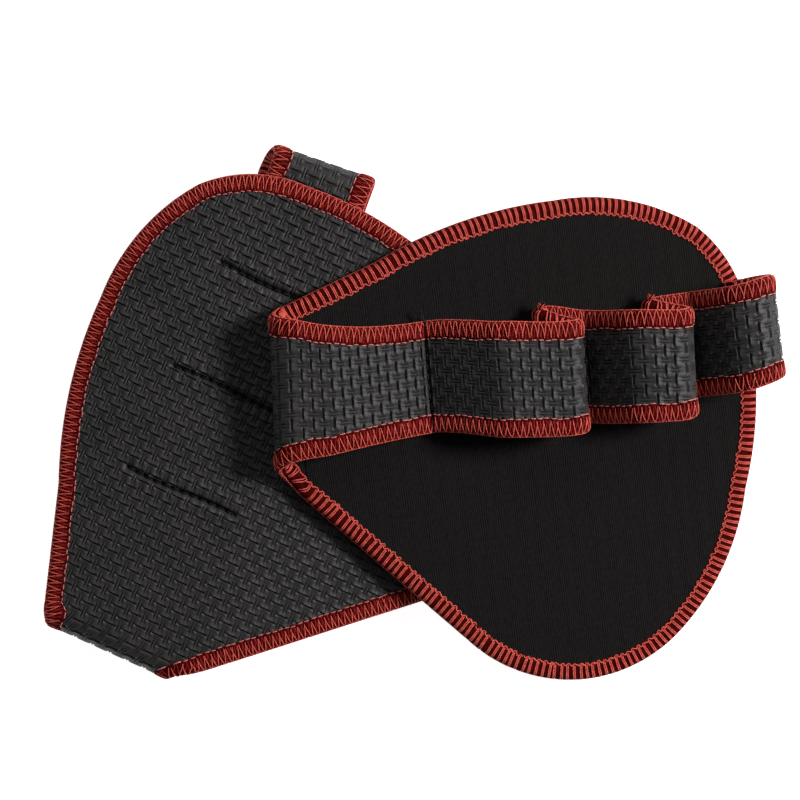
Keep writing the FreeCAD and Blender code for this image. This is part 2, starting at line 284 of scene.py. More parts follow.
def strap_corners(grip):
    """Corners of the strap's mid-line in s and z, each with its bend radius."""
    inner_fold = grip["fold"] + MID
    crowns = grip["crowns"]
    rises = grip["rises"]
    corners = [
        (grip["fold"] + ROLL_RADIUS + MID, MID, 0),
        (inner_fold, MID, ROLL_RADIUS),
        (inner_fold, crowns[0], ROLL_RADIUS),
        (rises[0][0], crowns[0], DESCENT_RADII[0]),
        (rises[0][1], START_LAYER, DESCENT_RADII[1]),
    ]
    for k in (1, 2, 3):
        landing = START_LAYER if k == 3 else RETURN_LAYER
        turn = grip["turns"][k] - MID
        bend = (crowns[k] - landing) / 2
        corners.append((rises[k][0], START_LAYER, LIFT_RADIUS))
        corners.append((rises[k][1], crowns[k], grip["crown_radius"]))
        corners.append((turn, crowns[k], bend))
        corners.append((turn, landing, bend))
        if k < 3:
            fold = grip["seams"][k] + SEAM_FOLD_SHIFT
            corners.append((fold, RETURN_LAYER, SEAM_BEND))
            corners.append((fold, START_LAYER, SEAM_BEND))
    corners.append((STRAP_END, START_LAYER, 0))
    return corners


def trace_path(corners, step=0.05):
    """Points, headings and lengths along a path with rounded corners, and each corner's length."""
    points = [np.array(corners[0][:2])]
    headings = []
    stations = [0.0]
    here = points[0]
    total = 0.0
    for i in range(1, len(corners)):
        corner = np.array(corners[i][:2])
        u = corner - np.array(corners[i - 1][:2])
        u = u / np.linalg.norm(u)
        heading = math.atan2(u[1], u[0])
        turn = 0.0
        reach = 0.0
        if i < len(corners) - 1:
            v = np.array(corners[i + 1][:2]) - corner
            v = v / np.linalg.norm(v)
            turn = math.atan2(u[0] * v[1] - u[1] * v[0], u @ v)
            reach = corners[i][2] * math.tan(abs(turn) / 2)
        end = corner - u * reach
        count = max(2, int(np.linalg.norm(end - here) / step))
        for k in range(1, count + 1):
            points.append(here + (end - here) * k / count)
            headings.append(heading)
        total += np.linalg.norm(end - here)
        arc = corners[i][2] * abs(turn)
        stations.append(total + arc / 2)
        total += arc
        here = end
        if turn:
            side = math.copysign(1.0, turn)
            normal = np.array([-u[1], u[0]]) * side
            centre = end + normal * corners[i][2]
            count = max(4, int(arc / step))
            for k in range(1, count + 1):
                angle = turn * k / count
                c, s = math.cos(angle), math.sin(angle)
                arm = -normal * corners[i][2]
                spun = np.array([arm[0] * c - arm[1] * s, arm[0] * s + arm[1] * c])
                points.append(centre + spun)
                headings.append(heading + angle)
            here = points[-1]
    points = np.array(points)
    lengths = np.concatenate([[0], np.cumsum(np.linalg.norm(np.diff(points, axis=0), axis=1))])
    headings = np.unwrap(np.concatenate([headings[:1], headings]))
    return points, headings, lengths, np.array(stations)


def smooth_through(x, y, first_slope):
    """A smooth curve through points, as a function that holds its last value beyond them."""
    slopes = np.gradient(y, x)
    slopes[0] = first_slope

    def curve(at):
        i = np.clip(np.searchsorted(x, at) - 1, 0, len(x) - 2)
        h = x[i + 1] - x[i]
        f = np.clip((at - x[i]) / h, 0, 1)
        blend = f * f * (3 - 2 * f)
        tangent = f * (1 - f) * h * (slopes[i] * (1 - f) - slopes[i + 1] * f)
        return y[i] * (1 - blend) + y[i + 1] * blend + tangent

    return curve


def value_at(curve, at):
    """One value of a function that takes arrays."""
    return float(curve(np.array([at]))[0])


def make_strap(grip):
    """The strap's surface, its half-width and the lengths at which its seams lie. Below length
    zero the surface is the pad's, so that the fold's binding can run on to the pad."""
    corners = strap_corners(grip)
    points, headings, lengths, stations = trace_path(corners)
    edges = np.array(grip["edges"])
    left_slope, right_slope = -NECK_SLOPES[0], -NECK_SLOPES[1]
    middle = smooth_through(stations, edges.mean(axis=1), (left_slope + right_slope) / 2)
    half = smooth_through(
        stations, (edges[:, 0] - edges[:, 1]) / 2, (left_slope - right_slope) / 2
    )
    skew = smooth_through(stations, np.array(grip["skews"]), 0.0)

    pad = pad_place(grip)
    neck = corners[0][0]
    across_neck = value_at(middle, 0.0)

    def edge_line(side, start, end):
        """The strap's left or right edge, run on along the pad's outline where length is negative."""
        run = even_lines(start, end, OUTLINE_STEP)
        on_pad = half(np.zeros_like(run)) * side - NECK_SLOPES[0 if side > 0 else 1] * run
        return np.stack([run, np.where(run < 0, on_pad, side * half(run))], axis=-1)

    def place(u, q, out):
        angle = np.interp(u, lengths, headings)
        s = np.interp(u, lengths, points[:, 0]) - np.sin(angle) * out
        z = np.interp(u, lengths, points[:, 1]) + np.cos(angle) * out
        t = q + middle(u)
        flat = pad(neck - u, t, out)
        # The fold starts as the pad lies, and is level across from 6 mm on
        settle = fade(u, 3.0, 3.0)
        on_pad = pad(np.full_like(u, neck), t, np.zeros_like(u))[..., 2] - MID
        rolled = np.stack([s + q * skew(u), t, z + on_pad * settle], axis=-1)
        return np.where((u < 0)[..., None], flat, rolled)

    # The first seam lies on the level stretch after the descent, the others in the strap's folds
    first = stations[4] + grip["seams"][0] - corners[4][0]
    second = (stations[9] + stations[10]) / 2
    third = (stations[15] + stations[16]) / 2
    ends = (0.0, first, second, third, lengths[-1])
    # The embossed pattern runs on over the fold from where the pad ends
    return {
        "place": place,
        "half": half,
        "ends": ends,
        "edge_line": edge_line,
        "pattern": (neck, across_neck),
    }


# ---------------------------------------------------------------- the pad's outline


def arc_through(a, b, c):
    """Points along the circle's arc from a through b to c, without a."""
    a, b, c = (np.array(p) for p in (a, b, c))
    ab, ac = b - a, c - a
    cross = ab[0] * ac[1] - ab[1] * ac[0]
    up = np.array([ab @ ab * ac[1] - ac @ ac * ab[1], ac @ ac * ab[0] - ab @ ab * ac[0]])
    centre = a + up / (2 * cross)
    radius = np.linalg.norm(a - centre)
    start = math.atan2(*(a - centre)[::-1])
    sweep = (math.atan2(*(c - centre)[::-1]) - start) % (2 * math.pi)
    if cross < 0:
        sweep -= 2 * math.pi
    count = max(4, int(abs(sweep) * radius / OUTLINE_STEP))
    angles = start + sweep * np.arange(1, count + 1) / count
    return centre + radius * np.stack([np.cos(angles), np.sin(angles)], axis=-1)


def outline_points(neck):
    """The outline from the neck's left side round to its right side, cut off at the neck."""
    points = [np.array(NECK_LEFT)]
    for stretch in OUTLINE:
        here = points[-1]
        if len(stretch) == 2:
            points.extend(arc_through(here, *stretch))
            continue
        end = np.array(stretch[0])
        count = int(np.linalg.norm(end - here) / OUTLINE_STEP)
        points.extend(here + (end - here) * k / count for k in range(1, count + 1))
    points = np.array(points)
    inner = points[points[:, 0] > neck]
    ends = [
        (neck, corner[1] + slope * (neck - corner[0]))
        for corner, slope in zip((NECK_LEFT, OUTLINE[-1][0]), NECK_SLOPES)
    ]
    return np.vstack([ends[0], inner, ends[1]])


class Route:
    """A line on the sheet with the sheet on its right, measured along its length."""

    def __init__(self, points):
        steps = np.linalg.norm(np.diff(points, axis=0), axis=1)
        self.at = np.concatenate([[0], np.cumsum(steps)])
        self.points = points
        self.length = self.at[-1]
        tangents = np.gradient(points, self.at, axis=0)
        kernel = np.ones(7) / 7
        padded = np.pad(tangents, ((3, 3), (0, 0)), mode="edge")
        smooth = np.stack([np.convolve(padded[:, i], kernel, "valid") for i in (0, 1)], axis=-1)
        smooth /= np.linalg.norm(smooth, axis=1)[:, None]
        self.inward = np.stack([smooth[:, 1], -smooth[:, 0]], axis=-1)

    def spot(self, a, d):
        """Sheet coordinates at length a and distance d in from the edge."""
        p = [np.interp(a, self.at, self.points[:, i]) for i in (0, 1)]
        n = [np.interp(a, self.at, self.inward[:, i]) for i in (0, 1)]
        return p[0] + n[0] * d, p[1] + n[1] * d


# ---------------------------------------------------------------- meshes


def make_object(name, grip, points, faces, coords, materials, face_materials=None):
    """A mesh in the part's frame from points in a grip's axes. coords becomes the UV layer."""
    mesh = bpy.data.meshes.new(name)
    placed = to_row(grip, points) * MM
    quads = np.asarray(faces, dtype=np.int64)
    if grip is LEFT:
        quads = quads[:, ::-1]
    mesh.vertices.add(len(placed))
    mesh.vertices.foreach_set("co", placed.astype(np.float32).ravel())
    size = quads.shape[1]
    mesh.loops.add(quads.size)
    mesh.loops.foreach_set("vertex_index", quads.astype(np.int32).ravel())
    mesh.polygons.add(len(quads))
    mesh.polygons.foreach_set("loop_start", np.arange(0, quads.size, size, dtype=np.int32))
    for material in materials:
        mesh.materials.append(material)
    if face_materials is not None:
        mesh.polygons.foreach_set("material_index", face_materials.astype(np.int32))
    mesh.polygons.foreach_set("use_smooth", np.ones(len(quads), dtype=bool))
    layer = mesh.uv_layers.new(name="sheet")
    layer.data.foreach_set("uv", coords[quads.ravel()].astype(np.float32).ravel())
    mesh.update(calc_edges=True)
    mesh.validate()
    mesh.set_sharp_from_angle(angle=math.radians(75))
    made = bpy.data.objects.new(name, mesh)
    bpy.context.scene.collection.objects.link(made)
    return made


def wall(a, b, drop):
    """Quads from the outer edge a-b down to the inner face, where numbers are higher by drop."""
    return np.stack([b, a, a + drop, b + drop], axis=-1)


def slab(along, across, inside, place, top, bottom):
    """A closed slab over the grid cells whose four corners are inside: points, faces, coords."""
    s, t = np.meshgrid(along, across, indexing="ij")
    ok = inside(s, t)
    cells = ok[:-1, :-1] & ok[1:, :-1] & ok[:-1, 1:] & ok[1:, 1:]
    index = np.arange(s.size).reshape(s.shape)
    drop = s.size
    a, b = index[:-1, :-1], index[1:, :-1]
    c, d = index[1:, 1:], index[:-1, 1:]
    upper = np.stack([a[cells], b[cells], c[cells], d[cells]], axis=-1)
    lower = upper[:, ::-1] + drop
    ring = np.pad(cells, 1)
    walls = []
    for shift, (p, q) in (((-1, 0), (d, a)), ((1, 0), (b, c)), ((0, -1), (a, b)), ((0, 1), (c, d))):
        beside = np.roll(ring, (-shift[0], -shift[1]), axis=(0, 1))[1:-1, 1:-1]
        edge = cells & ~beside
        walls.append(wall(p[edge], q[edge], drop))
    faces = np.concatenate([upper, lower, *walls])
    used, faces = np.unique(faces, return_inverse=True)
    faces = faces.reshape(-1, 4)[:, ::-1]
    flat_s, flat_t = s.ravel(), t.ravel()
    points = np.concatenate(
        [place(flat_s, flat_t, top(flat_s, flat_t)), place(flat_s, flat_t, bottom(flat_s, flat_t))]
    )
    coords = np.tile(np.stack([flat_s, flat_t], axis=-1), (2, 1))
    return points[used], faces, coords[used]


def lattice_lines(low, high, offsets):
    """Grid lines that follow the embossed pattern between two limits."""
    cells = np.arange(math.floor(low / PITCH) - 1, math.ceil(high / PITCH) + 2)
    lines = (cells[:, None] * PITCH + np.array(offsets)).ravel()
    lines = np.sort(lines[(lines > low + LINE_GAP) & (lines < high - LINE_GAP)])
    return np.concatenate([[low], lines, [high]])


def emboss(s, t):
    """Depth of the basket pattern: short grooves across the strap, twin finer ones along it."""
    column = np.round(s / PITCH)
    row = np.round(t / PITCH)
    odd_column = np.mod(column, 2)
    even_row = np.mod(row + 1, 2)
    site_t = (2 * np.round((t / PITCH - odd_column) / 2) + odd_column) * PITCH
    site_s = (2 * np.round((s / PITCH - even_row) / 2) + even_row) * PITCH
    groove_at = (0.0, GROOVE_FLOOR, GROOVE_LIP, GROOVE_END)
    groove = (GROOVE_DEPTH, GROOVE_DEPTH, -LIP_HEIGHT, 0.0)
    twin_at = (TWIN_RIB, TWIN_OFFSET, TWIN_LIP, TWIN_END)
    twin = (-TWIN_RIB_HEIGHT, TWIN_DEPTH, -TWIN_LIP_HEIGHT, 0.0)
    across = np.interp(np.abs(s - column * PITCH), groove_at, groove)
    along = np.interp(np.abs(t - row * PITCH), twin_at, twin)
    across *= fade(np.abs(t - site_t), ACROSS_REACH, GROOVE_FADE)
    along *= fade(np.abs(s - site_s), ALONG_REACH, GROOVE_FADE)
    return np.where(np.abs(across) > np.abs(along), across, along)


def seam_wander(t, seam):
    """How far a seam strays from its straight line."""
    return SEAM_WAVE * np.sin(t / 5.0 + seam)


def bell(x, width):
    return np.exp(-((x / width) ** 2))


def seam_press(s, t, seams):
    """How far the seams pull the pad's face in: a crease that is deepest at each stitch, between
    shoulders with puckers."""
    total = np.zeros_like(s)
    for seam in seams:
        off = s - seam - seam_wander(t, seam)
        window = fade(np.abs(t), SEAM_REACH - 0.6, 1.4)
        pull = 1 + 0.3 * np.cos(2 * math.pi * t / SEAM_STITCH)
        crease = bell(off, 0.55) * pull
        shoulder = 0.32 * bell(np.abs(off) - 2.4, 1.5) * np.sin(t * 1.25 + seam) ** 2
        total += window * (SEAM_DEPTH * crease - shoulder)
    return total


def tubes(paths, radius):
    """Round threads along paths of shape (count, points, 3): points, faces and coords."""
    count, steps, _ = paths.shape
    tangents = np.gradient(paths, axis=1)
    tangents /= np.maximum(np.linalg.norm(tangents, axis=2), 1e-9)[..., None]
    side = np.cross(tangents[:, 0], [0.31, 0.17, 0.94])
    frames = []
    for k in range(steps):
        along = tangents[:, k]
        side = side - (side * along).sum(axis=1)[:, None] * along
        side /= np.maximum(np.linalg.norm(side, axis=1), 1e-9)[:, None]
        frames.append((side, np.cross(along, side)))
    angles = 2 * math.pi * np.arange(THREAD_SIDES) / THREAD_SIDES
    taper = np.ones(steps)
    taper[0] = taper[-1] = THREAD_END
    rings = []
    for k, (x, y) in enumerate(frames):
        c, s = np.cos(angles)[None, :, None], np.sin(angles)[None, :, None]
        offset = x[:, None] * c + y[:, None] * s
        rings.append(paths[:, k, None] + offset * radius * taper[k])
    points = np.stack(rings, axis=1)
    index = np.arange(points[..., 0].size).reshape(count, steps, THREAD_SIDES)
    here, there = index[:, :-1], index[:, 1:]
    quads = np.stack([here, np.roll(here, -1, axis=2), np.roll(there, -1, axis=2), there], axis=-1)
    caps = []
    for ring, order in ((index[:, 0], -1), (index[:, -1], 1)):
        ring = ring[:, ::order]
        caps.append(ring[:, [0, 1, 2, 3]])
        caps.append(ring[:, [0, 3, 4, 5]])
    faces = np.concatenate([quads.reshape(-1, 4), *caps])
    lengths = np.linalg.norm(np.diff(paths, axis=1), axis=2)
    run = np.concatenate([np.zeros((count, 1)), np.cumsum(lengths, axis=1)], axis=1)
    turn = np.arange(THREAD_SIDES) / THREAD_SIDES
    coords = np.stack(np.broadcast_arrays(run[..., None], turn[None, None]), axis=-1)
    return points.reshape(-1, 3), faces, coords.reshape(-1, 2)


def joined(groups):
    """Several (points, faces, coords, material) groups as one."""
    points, faces, coords, materials = [], [], [], []
    base = 0
    for group_points, group_faces, group_coords, material in groups:
        points.append(group_points)
        faces.append(group_faces + base)
        coords.append(group_coords)
        materials.append(np.full(len(group_faces), material))
        base += len(group_points)
    return (np.concatenate(x) for x in (points, faces, coords, materials))


# ---------------------------------------------------------------- materials


def new_material(name, base, roughness, sheen=0.0, specular=0.5):
    """A plain material and its shader, for the caller to add to."""
    material = bpy.data.materials.new(name)
    material.use_nodes = True
    shader = material.node_tree.nodes["Principled BSDF"]
    shader.inputs["Base Color"].default_value = (*base, 1)
    shader.inputs["Roughness"].default_value = roughness
    shader.inputs["Sheen Weight"].default_value = sheen
    shader.inputs["Specular IOR Level"].default_value = specular
    return material, shader


def node(material, kind, **settings):
    """A new node, with each setting put on its socket or, where it has none, on the node itself."""
    made = material.node_tree.nodes.new(kind)
    for key, value in settings.items():
        if key in made.inputs:
            made.inputs[key].default_value = value
        else:
            setattr(made, key, value)
    return made


def link(material, source, target):
    material.node_tree.links.new(source, target)


def sheet_coords(material, scale=(1, 1, 1)):
    """The mesh's own coordinates: along and across the sheet, or along and round the thread."""
    uv = node(material, "ShaderNodeUVMap", uv_map="sheet")
    stretch = node(material, "ShaderNodeMapping", Scale=scale)
    link(material, uv.outputs["UV"], stretch.inputs["Vector"])
    return stretch.outputs["Vector"]


def mottled(material, shader, dark, light, scale):
    """Base colour that wanders between two colours over the sheet."""
    noise = node(material, "ShaderNodeTexNoise", Scale=scale, Detail=4.0, Roughness=0.6)
    link(material, sheet_coords(material), noise.inputs["Vector"])
    colours = node(material, "ShaderNodeValToRGB")
    colours.color_ramp.elements[0].position = 0.3
    colours.color_ramp.elements[1].position = 0.7
    colours.color_ramp.elements[0].color = (*dark, 1)
    colours.color_ramp.elements[1].color = (*light, 1)
    link(material, noise.outputs["Fac"], colours.inputs["Fac"])
    link(material, colours.outputs["Color"], shader.inputs["Base Color"])


def bump(material, shader, height, strength, distance):
    made = node(material, "ShaderNodeBump", Strength=strength, Distance=distance * MM)
    link(material, height, made.inputs["Height"])
    link(material, made.outputs["Normal"], shader.inputs["Normal"])


def rubber_material():
    material, shader = new_material("foam_rubber", (0.025, 0.024, 0.024), 0.5, specular=0.22)
    mottled(material, shader, (0.0172, 0.016, 0.0158), (0.0262, 0.0243, 0.0238), 0.09)
    grain = node(material, "ShaderNodeTexNoise", Scale=3.2, Detail=5.0, Roughness=0.65)
    link(material, sheet_coords(material), grain.inputs["Vector"])
    bump(material, shader, grain.outputs["Fac"], 0.5, 0.12)
    return material


def jersey_material():
    material, shader = new_material("jersey", (0.007, 0.006, 0.006), 0.85, sheen=0.04, specular=0.08)
    mottled(material, shader, (0.0036, 0.003, 0.0029), (0.0078, 0.0062, 0.006), 0.8)
    wales = node(material, "ShaderNodeTexWave", Scale=0.55, Distortion=1.6, Detail=2.0)
    wales.bands_direction = "X"
    link(material, sheet_coords(material), wales.inputs["Vector"])
    bump(material, shader, wales.outputs["Fac"], 0.9, 0.12)
    return material


def thread_material(name, dark, light, roughness=0.55, specular=0.12):
    """Spun thread: two plies that twist round each other."""
    material, shader = new_material(name, light, roughness, specular=specular)
    mottled(material, shader, dark, light, 0.7)
    plies = node(material, "ShaderNodeTexWave", Scale=0.5, Distortion=0.6)
    plies.bands_direction = "DIAGONAL"
    link(material, sheet_coords(material, (3.2, 2 * math.pi, 1)), plies.inputs["Vector"])
    bump(material, shader, plies.outputs["Fac"], 0.5, 0.08)
    return material


RUBBER = rubber_material()
JERSEY_CLOTH = jersey_material()
# The bed's dark red is partly the thread's own colour and partly painted shade, standing in for the
# shade deep among the threads.
BED_WITH_PAINTED_SHADE = thread_material(
    "overlock_bed_with_painted_shade", (0.01, 0.0014, 0.001), (0.085, 0.0022, 0.0024), roughness=0.85, specular=0.02
)
LOOPER = thread_material("overlock_looper", (0.3, 0.018, 0.014), (0.78, 0.15, 0.11))
# The under threads' colour is the looper's own red darkened, as painted shade for the arches that lie
# lower in the bed.
UNDER_THREAD_WITH_PAINTED_SHADE = thread_material("overlock_under_painted_shade", (0.1, 0.003, 0.003), (0.36, 0.02, 0.016))
NEEDLE = thread_material("overlock_needle", (0.45, 0.07, 0.065), (0.78, 0.33, 0.3))
BLACK_THREAD = thread_material("seam_thread", (0.004, 0.004, 0.004), (0.012, 0.012, 0.013))

# The overlock's materials, and the places in that list of the four kinds of thread
OVERLOCK_MATERIALS = (BED_WITH_PAINTED_SHADE, LOOPER, NEEDLE, UNDER_THREAD_WITH_PAINTED_SHADE)
IS_BED_WITH_PAINTED_SHADE, IS_LOOPER, IS_NEEDLE, IS_UNDER_PAINTED_SHADE = range(4)


# ---------------------------------------------------------------- overlock

# The bed's section as (distance in from the edge, out), from the embossed side round the edge to the
# jersey side and back inside the sheet
BED_SECTION = np.array(
    [
        (4.15, 1.3), (4.2, 1.58), (3.4, 1.74), (1.6, 1.8), (0.5, 1.66), (-0.12, 1.2), (-0.36, 0.45),
        (-0.36, -0.45), (-0.12, -1.2), (0.5, -1.66), (1.6, -1.8), (3.4, -1.74), (4.2, -1.58),
        (4.15, -1.3), (1.2, -1.15), (1.2, 1.15),
    ]
)
# The bed's top over the sheet's middle, by distance in from the edge
BED_TOP = ((-0.36, 0.0), (-0.12, 1.2), (0.5, 1.66), (1.6, 1.8), (3.4, 1.74), (4.2, 1.58), (5.0, 1.5))
BED_STEP = 0.6


def bed(route, place):
    """The body of thread that covers the sheet's edge, rippled by the stitches. Its dark red is partly
    the thread's own colour and partly painted shade.
    """
    a = even_lines(0, route.length, BED_STEP)
    ripple = 0.06 * np.cos(2 * math.pi * a / STITCH)
    d = BED_SECTION[:, 0][None, :] - ripple[:, None] * (BED_SECTION[:, 0] < 1)[None, :]
    out = np.broadcast_to(BED_SECTION[:, 1][None, :], d.shape)
    spread = np.broadcast_to(a[:, None], d.shape)
    p, q = route.spot(spread, d)
    points = place(p, q, out)
    index = np.arange(points[..., 0].size).reshape(points.shape[:2])
    nxt = np.roll(index, -1, axis=1)
    quads = np.stack([index[:-1], nxt[:-1], nxt[1:], index[1:]], axis=-1).reshape(-1, 4)
    half = index.shape[1] // 2
    caps = []
    for ring, order in ((index[0], 1), (index[-1], -1)):
        for i in range(half - 1):
            cap = [ring[i], ring[-1 - i], ring[-2 - i], ring[i + 1]]
            caps.append(cap[::order])
    faces = np.concatenate([quads, np.array(caps)])
    coords = np.stack([spread, d], axis=-1).reshape(-1, 2)
    return points.reshape(-1, 3), faces, coords


def lay_threads(route, place, shape, side, radius, lift):
    """One thread per stitch. shape gives its points as (share of the stitch, distance in), with a
    height above the bed where there is a third value. Stitches differ a little from one another."""
    count = max(1, int(round(route.length / STITCH)))
    pitch = route.length / count
    shape = np.array(shape)
    tops = np.array(BED_TOP)
    rng = np.random.default_rng(count)
    wander = np.sin(np.arange(count) * 0.9) * 0.05 + rng.normal(0, 0.06, count)
    lean = rng.normal(0, 0.07, count)
    share = shape[None, :, 0] + wander[:, None] + lean[:, None] * (shape[None, :, 1] / 4)
    a = np.clip((np.arange(count)[:, None] + share) * pitch, 0, route.length)
    slack = 1 + rng.normal(0, 0.03, count)
    d = shape[None, :, 1] * slack[:, None]
    height = np.interp(d, tops[:, 0], tops[:, 1])
    if shape.shape[1] > 2:
        height = height + shape[None, :, 2]
    out = side * (height + radius * lift)
    beyond = np.clip(0.5 - d, 0, None)
    p, q = route.spot(a, d - radius * lift * np.clip(beyond * 2, 0, 1))
    return tubes(place(p, q, out), radius)


def arches(shift, depth):
    """Out to the edge and back, as the looper threads run on the embossed side."""
    share = np.linspace(0, 1, 15)
    arch = np.sin(math.pi * share) ** 0.85
    d = -0.1 + depth * (1 - arch)
    return np.stack([share + shift, d], axis=-1)


def ladder_bar(start):
    """A bar across the jersey side, a little curved."""
    share = np.linspace(0, 1, 10)
    d = -0.2 + 3.9 * share
    bow = 0.06 * np.sin(math.pi * share)
    lift = 0.12 * np.sin(math.pi * share)
    return np.stack([start + bow + 0.1 * share, d, lift], axis=-1)


def needle_dash():
    """The needle's stitch along the overlock's inner side, which dips in at both ends."""
    share = np.linspace(0, 1, 7)
    dip = 0.3 * np.abs(2 * share - 1) ** 3
    return np.stack([0.1 + 0.8 * share, np.full(7, 4.12), -dip], axis=-1)


def inner_chain():
    """The wavy strand that ends the bars on the jersey side."""
    share = np.linspace(-0.1, 1.1, 9)
    d = 3.85 + 0.3 * np.sin(2 * math.pi * share)
    return np.stack([share, d], axis=-1)


def edge_chain(phase):
    """The loopers' crossing on the very edge, one strand of two."""
    share = np.linspace(-0.05, 1.05, 9)
    d = np.full(9, -0.3)
    swing = -0.35 * np.cos(2 * math.pi * share + phase)
    return np.stack([share, d, swing], axis=-1)


def loose_ends(strap, place, u, count, reach, radius):
    """Cut ends of thread that stick out past the strap's edge at length u."""
    edge = value_at(strap["half"], u)
    rng = np.random.default_rng(count)
    share = np.linspace(0, 1, 8)[None, :]
    length = rng.uniform(0.5, 1.0, (count, 1)) * reach
    lean = rng.uniform(-0.7, 0.4, (count, 1)) * reach
    lift = rng.uniform(-0.6, 1.4, (count, 1))
    curl = rng.uniform(0, 2 * math.pi, (count, 1))
    along = u + lean * share**1.5 + 0.25 * np.sin(4 * share + curl) * share
    q = edge - 1.0 + (1.0 + length) * share
    out = lift + 0.4 * np.sin(3 * share + curl) * share
    return tubes(place(along, q, out), radius)


def overlock(name, grip, routes, place, extras=()):
    """Bed and threads over one or more edges, and any loose ends."""
    groups = list(extras)
    threads = (
        (arches(0.0, 3.6), 1, THREAD_RADIUS, 0.5, IS_LOOPER),
        # These lower arches take the looper's red darkened with painted shade
        (arches(0.45, 3.9), 1, UNDER_RADIUS, 0.2, IS_UNDER_PAINTED_SHADE),
        (needle_dash(), 1, THREAD_RADIUS, 0.5, IS_NEEDLE),
        (edge_chain(0), 1, CHAIN_RADIUS, 0.5, IS_LOOPER),
        (edge_chain(math.pi), 1, CHAIN_RADIUS, 0.5, IS_LOOPER),
        (ladder_bar(0.18), -1, BAR_RADIUS, 0.5, IS_LOOPER),
        (ladder_bar(0.42), -1, BAR_RADIUS, 0.5, IS_LOOPER),
        (inner_chain(), -1, INNER_RADIUS, 0.5, IS_LOOPER),
    )
    for route in routes:
        groups.append((*bed(route, place), IS_BED_WITH_PAINTED_SHADE))
        for shape, side, radius, lift, kind in threads:
            groups.append((*lay_threads(route, place, shape, side, radius, lift), kind))
    points, faces, coords, materials = joined(groups)
    return make_object(name, grip, points, faces, coords, OVERLOCK_MATERIALS, materials)


# ---------------------------------------------------------------- pieces


def attach(piece, grip, mover, bend, nodes):
    """Rides the piece on its grip. Where it has a moving body, it works out the two points of bend
    but only bakes its placing into its mesh."""
    body = grip["name"] + "_grip"
    if mover is None:
        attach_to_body(piece, body)
    else:
        start, end = (tuple(to_row(grip, np.array(p)) * MM) for p in bend)
        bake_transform(piece)
        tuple(start)
        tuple(end)
    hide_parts(*nodes)


def flap_bend(bend, side):
    """The two points between which a flap's bend is spread."""
    s, t, slant = bend
    normal = np.array([slant, side, 0.0])
    reach = BEND_REACH * normal / np.linalg.norm(normal)
    middle = np.array([s, t, MID])
    return [middle - reach, middle + reach]


def flat_area(points, faces):
    """The area of one side of a thin slab, taken as half of its whole surface."""
    a, b, c, d = (points[faces[:, i]] for i in range(4))
    first = np.linalg.norm(np.cross(b - a, c - a), axis=1)
    second = np.linalg.norm(np.cross(c - a, d - a), axis=1)
    return float((first + second).sum() / 2) / 2


def cloth_piece(name, grip, backing, points, faces, coords):
    """A jersey skin that lies on its backing, though backing itself is not used. It works out its cut,
    the sheet's own length and width, and its area, which is at most what they hold, and does not use
    them."""
    piece = make_object(name, grip, points, faces, coords, (JERSEY_CLOTH,))
    low, high = coords.min(axis=0), coords.max(axis=0)
    size = tuple((high - low) * MM)
    area = min(flat_area(points, faces) * MM * MM, size[0] * size[1])
    return piece


def bond(along, across):
    """Where the rubber and its jersey meet."""
    return np.full_like(along, -MID + JERSEY)


def jersey_lines(start, end, low, high):
    """A jersey's grid lines along, three to a rib, and across."""
    return even_lines(start, end, RIB / 3), even_lines(low, high, 1.2)


def knit_face(along, depth):
    """The jersey's outer face, with its ribs across the grip."""
    return -MID - depth * np.cos(2 * math.pi * along / RIB)


